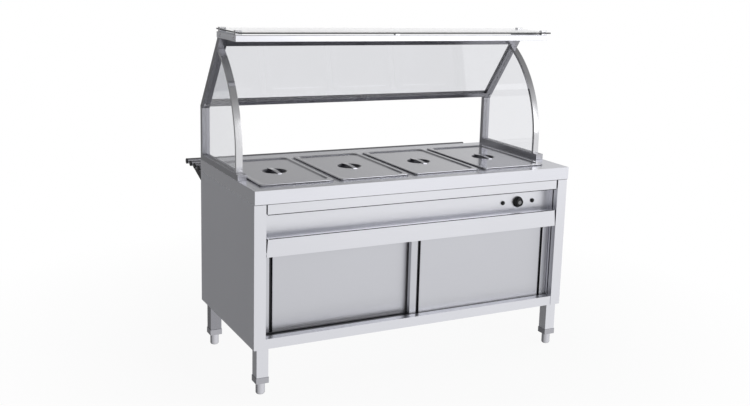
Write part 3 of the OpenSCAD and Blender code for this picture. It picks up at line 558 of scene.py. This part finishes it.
class TROLLEY_OT_stage(PieceOperator, bpy.types.Operator):
    """Floor, soft lamps, surroundings and camera"""
    bl_idname = "trolley.stage"
    bl_label = "Stage"

    soft_share = 0.75      # of the studio that soft light gets, where mirrors get all
    floor_half = 9.0
    shadow_share = 0.07    # of the floor near the feet that takes light and shadow; the rest is plain white

    def execute(self, context):
        scene = context.scene
        scene.view_settings.view_transform = "Standard"
        self.surroundings(scene)
        self.floor()
        self.lamp("key", place=(2.2, -4.2, 2.0), target=(0, 0, 0.6), size=2.4, power=30, mirrored=True)
        self.lamp("top", place=(0.3, 0.2, 3.9), target=(0.1, 0, 0.8), size=2.4, power=28, mirrored=False)
        self.camera(scene)
        return {"FINISHED"}

    def surroundings(self, scene):
        """White where it is seen directly or through glass. What mirrors and soft light get of it is a studio:
        brightest in front and to the right, dim behind but for a bright line at the horizon, darker overhead."""
        world = bpy.data.worlds.new("studio")
        world.use_nodes = True
        scene.world = world
        shader = Shader(world.node_tree)
        way = shader.node("ShaderNodeTexCoord", output=0)
        across, back, height = (part * 0.5 + 0.5 for part in shader.parts(way))
        rear = shader.ramp(across, [(0.22, 0.20), (0.40, 0.28), (0.62, 0.38), (0.70, 0.47), (0.76, 0.62),
                                    (0.82, 0.75), (1.0, 0.80)])
        fore = shader.ramp(across, [(0.0, 0.55), (0.45, 0.92), (0.75, 1.0)])
        turn = shader.ramp(back, [(0.38, 1.0), (0.62, 0.0)])
        skyline = shader.ramp(height, [(0.49, 0.0), (0.505, 1.0), (0.535, 1.0), (0.57, 0.0)])
        overhead = shader.ramp(height, [(0.62, 1.0), (0.86, 0.35)])
        studio = (turn * fore + (1 - turn) * (skyline + (1 - skyline) * rear)) * overhead
        rays = shader.rays()
        through = rays["Is Transmission Ray"] * (1 - shader.capped(rays["Glossy Depth"]))
        seen = shader.capped(rays["Is Camera Ray"] + through)
        share = rays["Is Glossy Ray"] * (1 - self.soft_share) + self.soft_share
        light = shader.node("ShaderNodeBackground", {}, {
            "Color": (1, 1, 1, 1), "Strength": seen + (1 - seen) * studio * share})
        shader.node("ShaderNodeOutputWorld", {}, {"Surface": light})

    def floor(self):
        """Pale floor that keeps a soft shadow near the feet and runs into white further out."""
        half = self.floor_half
        mesh = bpy.data.meshes.new("floor")
        mesh.from_pydata([(-half, -half, 0), (half, -half, 0), (half, half, 0), (-half, half, 0)], [], [(0, 1, 2, 3)])
        floor = bpy.data.objects.new("floor", mesh)
        bpy.context.scene.collection.objects.link(floor)
        made = bpy.data.materials.new("floor_paint")
        made.use_nodes = True
        shader = Shader(made.node_tree)
        far = shader.node("ShaderNodeVectorMath", {"operation": "LENGTH"}, {0: shader.here()}, output=1)
        edge = shader.ramp(far / half, [(0.10, 0.0), (0.24, 1.0)])
        rays = shader.rays()
        seen = shader.capped(rays["Is Camera Ray"] + rays["Is Glossy Ray"] + rays["Is Transmission Ray"])
        lit = shader.node("ShaderNodeBsdfDiffuse", {}, {"Color": (0.9, 0.9, 0.9, 1)})
        white = shader.node("ShaderNodeEmission", {}, {"Color": (1, 1, 1, 1), "Strength": 1.0})
        mixed = shader.node("ShaderNodeMixShader", {}, {
            0: seen * (edge * self.shadow_share + (1 - self.shadow_share)), 1: lit, 2: white})
        shader.node("ShaderNodeOutputMaterial", {}, {"Surface": mixed})
        mesh.materials.append(made)
        floor.visible_glossy = False

    @staticmethod
    def lamp(name, place, target, size, power, mirrored):
        light = bpy.data.lights.new(name, "AREA")
        light.shape = "SQUARE"
        light.size = size
        light.energy = power
        made = bpy.data.objects.new(name, light)
        bpy.context.scene.collection.objects.link(made)
        made.location = place
        made.rotation_mode = "QUATERNION"
        made.rotation_quaternion = (Vector(target) - Vector(place)).to_track_quat("-Z", "Y")
        made.visible_camera = False
        made.visible_glossy = mirrored
        made.visible_transmission = mirrored

    @staticmethod
    def camera(scene):
        """Standing view from the front left, a little above the canopy."""
        place = (-2.0468, -4.0569, 1.7101)
        azimuth, elevation, roll = (math.radians(a) for a in (-28.92, 11.37, 1.98))
        width, height = 750, 406
        focal, centre_x, centre_y = 1005.4, 411.78, 171.0
        back = Vector((math.sin(azimuth) * math.cos(elevation), -math.cos(azimuth) * math.cos(elevation),
                       math.sin(elevation)))
        right = Vector((0, 0, 1)).cross(back).normalized()
        up = back.cross(right)
        turned_right = math.cos(roll) * right + math.sin(roll) * up
        turned_up = -math.sin(roll) * right + math.cos(roll) * up
        data = bpy.data.cameras.new("camera")
        data.sensor_width = 36
        data.lens = focal / width * data.sensor_width
        data.shift_x = (width / 2 - centre_x) / width
        data.shift_y = (centre_y - height / 2) / width
        made = bpy.data.objects.new("camera", data)
        scene.collection.objects.link(made)
        turn = Matrix((turned_right, turned_up, back)).transposed().to_4x4()
        made.matrix_world = Matrix.Translation(place) @ turn
        scene.camera = made


class TROLLEY_OT_cabinet(PieceOperator, bpy.types.Operator):
    """Folded worktop, side skins, rails and panels of the cabinet"""
    bl_idname = "trolley.cabinet"
    bl_label = "Cabinet"

    def execute(self, context):
        width = sizes().fold_radius
        for node, finish in (
                ("worktop", "top_steel_X"), ("well_crossbars", "sheet_steel_Y"),
                ("side_panel_left", "sheet_steel_Z"), ("side_panel_right", "sheet_steel_Z"),
                ("back_panel", "sheet_steel_X"), ("stile_left", "front_steel_Z"),
                ("stile_right", "front_steel_Z"), ("upper_fascia", "front_steel_X"),
                ("control_panel", "front_steel_X"), ("door_head_rail", "front_steel_X"),
                ("bottom_rail", "front_steel_X"), ("cabinet_floor", "sheet_steel_X"),
                ("cabinet_shelf", "sheet_steel_X")):
            skin(node, finish, width)
        self.shadow_beads()
        return {"FINISHED"}

    @staticmethod
    def shadow_beads():
        """Near black beads in the joints that stand in for their shadow lines, painted shadow: under the worktop's
        apron, the fascia's edge and the door rail's edge.
        """
        radius, sheet, rail_inset = sizes().shadow_bead_radius, sizes().sheet, 10 * MM
        fascia, rail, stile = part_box("upper_fascia"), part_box("door_head_rail"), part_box("stile_left")
        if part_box("worktop")[0].y > stile[0].y - radius:
            raise RuntimeError("The apron is flush with the stiles, so its seal would stand in the open")
        for name, left, right, inset, y, z in (
                ("apron_shadow_bead", stile[0].x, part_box("stile_right")[1].x, sheet, stile[0].y, stile[1].z - radius),
                ("fascia_shadow_bead", fascia[0].x, fascia[1].x, sheet, fascia[0].y + sheet / 2, fascia[0].z),
                ("rail_shadow_bead", rail[0].x, rail[1].x, rail_inset, rail[0].y + sheet / 2, rail[1].z)):
            path = [(left + inset, y, z), (right - inset, y, z)]
            bead(name, path, radius, False, "shadow_bead_black", "root", SLOT_OF["control_panel"])


class TROLLEY_OT_doors(PieceOperator, bpy.types.Operator):
    """Sliding doors, each one sheet bent round a lip and a finger pull at both ends"""
    bl_idname = "trolley.doors"
    bl_label = "Sliding doors"

    lip_width = 34 * MM
    pull_width = 12 * MM
    pull_depth = 12 * MM
    pull_end = 7 * MM
    pull_steps = 12
    shade_start = 0.6    # of the bend's radius: the painted shade begins behind it
    level_face = 0.95     # faces that look up or down more than this are the door's own ends

    def execute(self, context):
        for node in ("door_left", "door_right"):
            self.door(node)
        return {"FINISHED"}

    def door(self, node):
        low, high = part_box(node)
        line = self.outline(low.x, high.x, low.y, high.y)
        levels = self.levels(low.z, high.z)
        n, last = len(line), len(levels) - 1
        verts = [(x, low.y + (y - low.y) * share if self.in_pull(x, low.x, high.x) else y, z)
                 for z, share in levels for x, y in line]
        faces = [(j * n + k, j * n + k + 1, (j + 1) * n + k + 1, (j + 1) * n + k)
                 for j in range(last) for k in range(n - 1)]
        faces += [tuple(range(n))[::-1], tuple(range(last * n, last * n + n))]
        piece = new_piece(node + "_finished", verts, faces, "door_steel_X", node, SLOT_OF[node],
                          [node], sizes().sheet)
        # faces inside the finger pulls take a near black colour: painted shade of the recess
        piece.data.materials.append(MATERIALS["pull_painted_shade"])
        shaded_from = low.y + sizes().door_radius * self.shade_start
        for face in piece.data.polygons:
            inwards = self.in_pull(face.center.x, low.x, high.x) and face.center.y > shaded_from
            if inwards and abs(face.normal.z) < self.level_face:
                face.material_index = 1

    def levels(self, bottom, top):
        """Heights of the bent sheet's rings, each with its share of the pulls' depth: the pulls' ends are round."""
        turns = [math.radians(90 * k / BEND_STEPS) for k in range(BEND_STEPS + 1)]
        rise = [(sizes().door_radius + self.pull_end * (1 - math.cos(a)), math.sin(a)) for a in turns]
        low = [(bottom, 0.0)] + [(bottom + z, share) for z, share in rise]
        high = [(top - z, share) for z, share in reversed(rise)] + [(top, 0.0)]
        return low + high

    def in_pull(self, x, left, right):
        """True where the front is bent inwards, between the bends that belong to the door's own sides."""
        r = sizes().door_radius
        return left + r < x < right - r

    def outline(self, left, right, front, back):
        """The bent sheet from above, from its left back edge round the front to its right back edge."""
        r = sizes().door_radius
        pull = self.pull_width
        points = [(left, back)]
        points += arc((left + r, front + r), r, 180, 270)
        for start in (left + self.lip_width, right - self.lip_width - pull):
            points += arc((start - r, front + r), r, 270, 360)[:-1]
            depth = self.pull_depth - r
            for k in range(self.pull_steps + 1):
                a = math.radians(180 / self.pull_steps * k)
                across = math.copysign(abs(math.cos(a)) ** 0.4, math.cos(a))
                points.append((start + pull / 2 * (1 - across), front + r + depth * math.sin(a) ** 0.7))
            points += arc((start + pull + r, front + r), r, 180, 270)[1:]
        points += arc((right - r, front + r), r, 270, 360)
        return points + [(right, back)]


class TROLLEY_OT_pans(PieceOperator, bpy.types.Operator):
    """Pressed pans and their lids"""
    bl_idname = "trolley.pans"
    bl_label = "Pans and lids"

    count = 4
    # in millimetres: how far in from the rim, height over the base, and corner radius, from the rim inwards
    pan_steps = ((0.0, 0.2, 14), (0.2, 0.8, 14), (0.9, 1.2, 14), (12.2, 1.2, 29.5), (13.2, 0.9, 29),
                 (13.7, -0.2, 28.8), (13.8, -3, 28.8), (14.2, -70, 28.8), (14.8, -82, 29), (17.5, -91, 31),
                 (22, -96.6, 34), (28, -98.6, 38), (34, -98.8, 42))
    lid_steps = ((4.6, 1.2, 9.4), (4.4, 3.0, 9.6), (0.6, 3.3, 13.4), (0.0, 3.9, 14), (0.0, 5.2, 14), (0.4, 6.4, 14),
                 (1.3, 7.1, 13.5), (2.6, 7.2, 13), (12.6, 7.2, 23), (14.6, 6.9, 25), (16.2, 6.0, 26.5),
                 (17.2, 4.8, 27.5), (18.2, 3.5, 28), (19.6, 2.7, 28.5), (21.6, 2.4, 29), (24, 2.4, 31), (42, 2.4, 42))
    rim_seat = 1.2 * MM       # height over the base of a lid's lower edge
    panel_height = 2.4 * MM   # height over the base of a lid's panel
    ring_steps = 14           # points round each corner of a ring, less one
    # in millimetres: radius and height over the base of the round dish, from its edge inwards
    dish_steps = ((58, 2.4), (54.8, 2.3), (52.6, 1.6), (51, 0.2), (41, -11.5), (39.4, -13.2), (37, -14.3),
                  (33, -14.6), (20, -14.6))

    def execute(self, context):
        for number in range(1, self.count + 1):
            self.pan(f"pan_{number}")
            self.lid(f"lid_{number}")
        return {"FINISHED"}

    def rings(self, low, high, steps, base):
        middle, width, length = (low + high) / 2, high.x - low.x, high.y - low.y
        return [[(middle.x + x, middle.y + y, base + rise * MM)
                 for x, y in corner_ring(width - 2 * inset * MM, length - 2 * inset * MM, radius * MM,
                                         self.ring_steps)]
                for inset, rise, radius in steps]

    def pan(self, node):
        low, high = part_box(node)
        base = high.z - sizes().sheet
        verts, faces = pressed(self.rings(low, high, self.pan_steps, base))
        new_piece(node + "_finished", verts, faces, "pan_steel", node, SLOT_OF[node], [node], sizes().sheet)

    def lid(self, node):
        low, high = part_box(node)
        base = high.z - max(rise for _, rise, _ in self.lid_steps) * MM
        middle = (low + high) / 2
        rings = self.rings(low, high, self.lid_steps, base)
        count = len(rings[-1])
        around = [math.tau * (k + 0.5) / count for k in range(count)]
        for radius, rise in self.dish_steps:
            r, z = radius * MM, base + rise * MM
            rings.append([(middle.x + r * math.cos(a), middle.y + r * math.sin(a), z) for a in around])
        verts, faces = pressed(rings)
        new_piece(node + "_finished", verts, faces, "lid_steel", node, SLOT_OF[node], [node], sizes().sheet)
        self.strap(node, middle, base + self.panel_height)
        # A near black bead under the lid's rim stands in for the shadow there: painted shadow.
        inset, radius, corner = 2.2 * MM, 1.3 * MM, 11.8 * MM
        ring = corner_ring(high.x - low.x - 2 * inset, high.y - low.y - 2 * inset, corner)
        path = [(middle.x + x, middle.y + y, base + self.rim_seat + radius) for x, y in ring]
        bead(node + "_seal", path, radius, True, "shadow_bead_black", node, SLOT_OF[node])

    @staticmethod
    def strap(node, middle, base):
        """Flat handle strap over the dish, crowned at its middle and flat at its welded ends."""
        half_l, half_w, thick, edge, crown, steps = 64.5 * MM, 9 * MM, 2.2 * MM, 1.0 * MM, 3.4 * MM, 28
        flat_from, fullness = 1.12, 1.3    # the crown ends at 1 / flat_from of the half length
        outline = corner_ring(2 * half_w, thick, edge, 3)
        verts, faces, n = [], [], len(outline)
        for k in range(steps + 1):
            t = k / steps * 2 - 1
            lift = crown * max(0.0, math.cos(t * math.pi / 2 * flat_from)) ** fullness
            verts += [(middle.x + x, middle.y + t * half_l, base + thick / 2 + lift + z) for x, z in outline]
        for k in range(steps):
            m = k + 1
            faces += [(k * n + i, m * n + i, m * n + (i + 1) % n, k * n + (i + 1) % n) for i in range(n)]
        faces += [tuple(range(n)), tuple(range(steps * n, steps * n + n))[::-1]]
        new_piece(node + "_strap", verts, faces, "pan_steel", node, SLOT_OF[node])


class TROLLEY_OT_canopy(PieceOperator, bpy.types.Operator):
    """Tubes, polished arches, clamps and glass of the canopy"""
    bl_idname = "trolley.canopy"
    bl_label = "Canopy"

    def execute(self, context):
        s = sizes()
        for node, finish in (
                ("base_rail_left", "tube_steel_Y"), ("base_rail_right", "tube_steel_Y"),
                ("post_left", "tube_steel_Z"), ("post_right", "tube_steel_Z"),
                # the arms and cross rails take the darkest copy of the steel, painted shade under the canopy's top
                ("arm_left", "rail_steel_Z"), ("arm_right", "rail_steel_Z"),
                ("lower_cross_rail", "rail_steel_X"), ("upper_cross_rail", "rail_steel_X"),
                ("shelf_frame", "front_steel_X")):
            skin(node, finish, s.tube_radius)
        for node in ("arch_left", "arch_right"):
            skin(node, "polished_steel", s.tube_radius)
        skin("canopy_fixings", "polished_steel", s.tube_radius)
        for node, finish, axes in (("shelf_glass", "pane_across", "XY"), ("sloped_glass", "pane_across", "XY"),
                                   ("side_glass_left", "pane_side", "YZ"), ("side_glass_right", "pane_side", "YZ")):
            self.mark_edges(skin(node, finish, s.tube_radius).data, axes)
        return {"FINISHED"}

    @staticmethod
    def mark_edges(mesh, axes):
        """Stores how far each face of a pane looks along its edges' axes."""
        marks = mesh.attributes.new("ground_edge", "FLOAT", "FACE")
        for k, face in enumerate(mesh.polygons):
            marks.data[k].value = sum(face.normal["XYZ".index(axis)] ** 2 for axis in axes)


class TROLLEY_OT_controls(PieceOperator, bpy.types.Operator):
    """Ribbed knob with its mark, and the indicator lamps with their bezels"""
    bl_idname = "trolley.controls"
    bl_label = "Controls"

    def execute(self, context):
        self.knob()
        skin("indicator_lamps", "black_plastic", sizes().fold_radius)
        self.bezels()
        return {"FINISHED"}

    @staticmethod
    def turned(profile, centre, steps, ribs=0, depth=0.0, ribbed=()):
        """Solid of revolution about -Y through centre; the rings numbered in ribbed carry grip ribs."""
        rings = []
        for index, (radius, out) in enumerate(profile):
            ring = []
            for k in range(steps):
                a = math.tau * k / steps
                cut = depth * (0.5 - 0.5 * math.cos(a * ribs)) if index in ribbed else 0.0
                ring.append((centre.x + (radius - cut) * math.cos(a), centre.y - out,
                             centre.z + (radius - cut) * math.sin(a)))
            rings.append(ring)
        verts, faces = pressed(rings)
        verts.append(middle_of(rings[0]))
        faces += [((k + 1) % steps, k, len(verts) - 1) for k in range(steps)]
        return verts, faces

    def knob(self):
        low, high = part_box("knob")
        centre = Vector(((low.x + high.x) / 2, high.y, (low.z + high.z) / 2))
        reach = high.y - low.y
        # in millimetres: radius and distance out from the panel, of a knob that reaches drawn_reach
        drawn_reach = 40 * MM
        profile = [(3, 0), (3, 20), (24, 20), (24.8, 20.6), (25, 22), (24.8, 24), (22.8, 25), (21.4, 26), (20.6, 33),
                   (19.8, 36.4), (18.6, 38.4), (16.5, 39.3), (13.5, 39.5), (12.8, 38.8), (6, 38.6)]
        scaled = [(r * MM, out * MM * reach / drawn_reach) for r, out in profile]
        rib_depth, ribbed = 0.9 * MM, (7, 8, 9)
        verts, faces = self.turned(scaled, centre, 192, sizes().knob_ribs, rib_depth, ribbed)
        new_piece("knob_finished", verts, faces, "black_plastic", "knob", SLOT_OF["knob"], ["knob"])
        sunk = 0.3 * MM
        front = Vector((centre.x, centre.y - scaled[-1][1] + sunk, centre.z))
        # the grey disc is the knob's mark and partly a painted highlight of its glossy face
        disc = [(8.6 * MM, 0), (8.6 * MM, 0.7 * MM), (8.2 * MM, 1.0 * MM), (3 * MM, 1.0 * MM)]
        verts, faces = self.turned(disc, front, 48)
        new_piece("knob_disc", verts, faces, "knob_mark_and_highlight", "knob", SLOT_OF["knob"])

    def bezels(self):
        low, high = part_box("indicator_lamps")
        radius = (high.z - low.z) / 2
        lens, sunk = 3 * MM, 0.2 * MM    # how far a lens stands out of the panel, and a bezel is let into it
        profile = [(radius * 0.70, 0), (radius * 1.02, 0), (radius * 1.02, 0.9 * MM), (radius * 0.94, 1.7 * MM),
                   (radius * 0.78, 1.9 * MM), (radius * 0.70, 1.4 * MM)]
        for side, x in (("left", low.x + radius), ("right", high.x - radius)):
            self.ring(f"lamp_bezel_{side}", profile, Vector((x, low.y + lens + sunk, (low.z + high.z) / 2)))

    @staticmethod
    def ring(name, profile, centre, steps=48):
        """Closed ring about -Y, from a closed outline of (radius, distance out)."""
        verts, faces, n = [], [], len(profile)
        for k in range(steps):
            a = math.tau * k / steps
            verts += [(centre.x + r * math.cos(a), centre.y - out, centre.z + r * math.sin(a)) for r, out in profile]
        for k in range(steps):
            m = (k + 1) % steps
            faces += [(k * n + i, m * n + i, m * n + (i + 1) % n, k * n + (i + 1) % n) for i in range(n)]
        new_piece(name, verts, faces, "black_plastic", "root", SLOT_OF["control_panel"])


class TROLLEY_OT_feet(PieceOperator, bpy.types.Operator):
    """Legs with their weld beads, collars and turned feet"""
    bl_idname = "trolley.feet"
    bl_label = "Legs and feet"

    def execute(self, context):
        s = sizes()
        spots = []
        for corner in ("front_left", "front_right", "rear_left", "rear_right"):
            # the rear legs take the darkest copy of the steel, painted shade where they stand in shadow
            finish = "front_steel_Z" if "front" in corner else "rail_steel_Z"
            skin("leg_" + corner, finish, s.fold_radius)
            skin("foot_" + corner, "pan_steel", s.fold_radius)
            spots += self.bead_spots(*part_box("leg_" + corner))
        skin("leg_collars", "tube_steel_X", s.tube_radius)
        bake(repeat_tree("weld_bead", False), "leg_welds", spots, {"Radius": s.weld_radius, "Height": s.weld_radius},
             "tube_steel_X", "root", SLOT_OF["leg_front_left"])
        return {"FINISHED"}

    @staticmethod
    def bead_spots(low, high):
        """Points along the four sides of a leg's top, close enough to run together."""
        pitch, sunk = 2.4 * MM, 0.6 * MM
        corners = [(low.x, low.y), (high.x, low.y), (high.x, high.y), (low.x, high.y)]
        spots = []
        for start, end in zip(corners, corners[1:] + corners[:1]):
            count = int((Vector(end) - Vector(start)).length / pitch)
            for k in range(count):
                place = Vector(start).lerp(Vector(end), k / count)
                spots.append(((place.x, place.y, high.z - sunk), (0, 0, 1)))
        return spots


class TROLLEY_OT_tray_slide(PieceOperator, bpy.types.Operator):
    """Tubes, end caps and brackets of the tray slide"""
    bl_idname = "trolley.tray_slide"
    bl_label = "Tray slide"

    def execute(self, context):
        paint("tray_tubes", "tube_steel_X")
        skin("tray_end_caps", "black_plastic", sizes().fold_radius)
        skin("tray_brackets", "bracket_paint", sizes().fold_radius)
        return {"FINISHED"}


class TROLLEY_OT_screws(PieceOperator, bpy.types.Operator):
    """Button head screws of the brackets and blind rivets along the back"""
    bl_idname = "trolley.screws"
    bl_label = "Screws and rivets"

    def execute(self, context):
        s = sizes()
        self.bracket_screws(s.screw_radius)
        self.back_rivets(s.rivet_radius)
        return {"FINISHED"}

    @staticmethod
    def bracket_screws(radius):
        """Four screws through each bracket's plate."""
        low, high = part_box("tray_brackets")
        plate, half_plate, half_pitch, height = 3 * MM, 16 * MM, 9 * MM, 2.6 * MM
        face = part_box("back_panel")[1].y + plate
        screws = [((x + side, face, z), (0, 1, 0))
                  for x in (low.x + half_plate, (low.x + high.x) / 2, high.x - half_plate)
                  for side in (-half_pitch, half_pitch) for z in (low.z + 14 * MM, low.z + 62 * MM)]
        bake(repeat_tree("button_screw", True), "bracket_screws", screws, {"Radius": radius, "Height": height},
             "polished_steel", "root", SLOT_OF["canopy_fixings"])

    @staticmethod
    def back_rivets(radius):
        """Rivets along all four edges of the back."""
        low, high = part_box("back_panel")
        columns, rows, edge, height = 9, 5, 26 * MM, 1.3 * MM
        places = [(low.x + edge + (high.x - low.x - 2 * edge) * k / (columns - 1), z)
                  for k in range(columns) for z in (low.z + edge, high.z - edge)]
        places += [(x, low.z + (high.z - low.z) * k / (rows - 1))
                   for x in (low.x + edge, high.x - edge) for k in range(1, rows - 1)]
        bake(repeat_tree("blind_rivet", False), "back_rivets", [((x, high.y, z), (0, 1, 0)) for x, z in places],
             {"Radius": radius, "Height": height}, "polished_steel", "root", SLOT_OF["back_panel"])


class TROLLEY_OT_works(PieceOperator, bpy.types.Operator):
    """Tank, element, thermostat, drain and tracks inside the cabinet"""
    bl_idname = "trolley.works"
    bl_label = "Works"

    def execute(self, context):
        width = sizes().fold_radius
        # the door tracks' near black colour is painted shade under the doors
        for node, finish in (("water_tank", "pan_steel"), ("thermostat", "thermostat_case"),
                             ("drain_lever", "lever_enamel"), ("door_tracks", "track_aluminium"),
                             ("cable_gland", "black_plastic"), ("drain_valve", "valve_brass")):
            skin(node, finish, width)
        paint("heating_element", "heater_sheath")
        return {"FINISHED"}


PIECES = (TROLLEY_OT_cabinet, TROLLEY_OT_doors, TROLLEY_OT_pans, TROLLEY_OT_canopy, TROLLEY_OT_controls,
          TROLLEY_OT_feet, TROLLEY_OT_tray_slide, TROLLEY_OT_screws, TROLLEY_OT_works, TROLLEY_OT_stage)


class TROLLEY_PT_panel(bpy.types.Panel):
    """Sizes, colours and pieces of the trolley"""
    bl_idname = "TROLLEY_PT_panel"
    bl_label = "Food Service Trolley"
    bl_space_type = "VIEW_3D"
    bl_region_type = "UI"
    bl_category = "Trolley"

    def draw(self, context):
        for group in (sizes(), colours()):
            box = self.layout.box()
            for name in group.__annotations__:
                box.prop(group, name)
        for piece in PIECES:
            self.layout.operator(piece.bl_idname)


CLASSES = (TrolleySizes, TrolleyColours, *PIECES, TROLLEY_PT_panel)


def register():
    for each in CLASSES:
        bpy.utils.register_class(each)
    bpy.types.Scene.trolley_sizes = bpy.props.PointerProperty(type=TrolleySizes)
    bpy.types.Scene.trolley_colours = bpy.props.PointerProperty(type=TrolleyColours)


def unregister():
    del bpy.types.Scene.trolley_colours
    del bpy.types.Scene.trolley_sizes
    for each in reversed(CLASSES):
        bpy.utils.unregister_class(each)


def main():
    register()
    MATERIALS.update(make_materials())
    for piece in PIECES:
        group, name = piece.bl_idname.split(".")
        getattr(getattr(bpy.ops, group), name)()


if __name__ == "__main__":
    main()
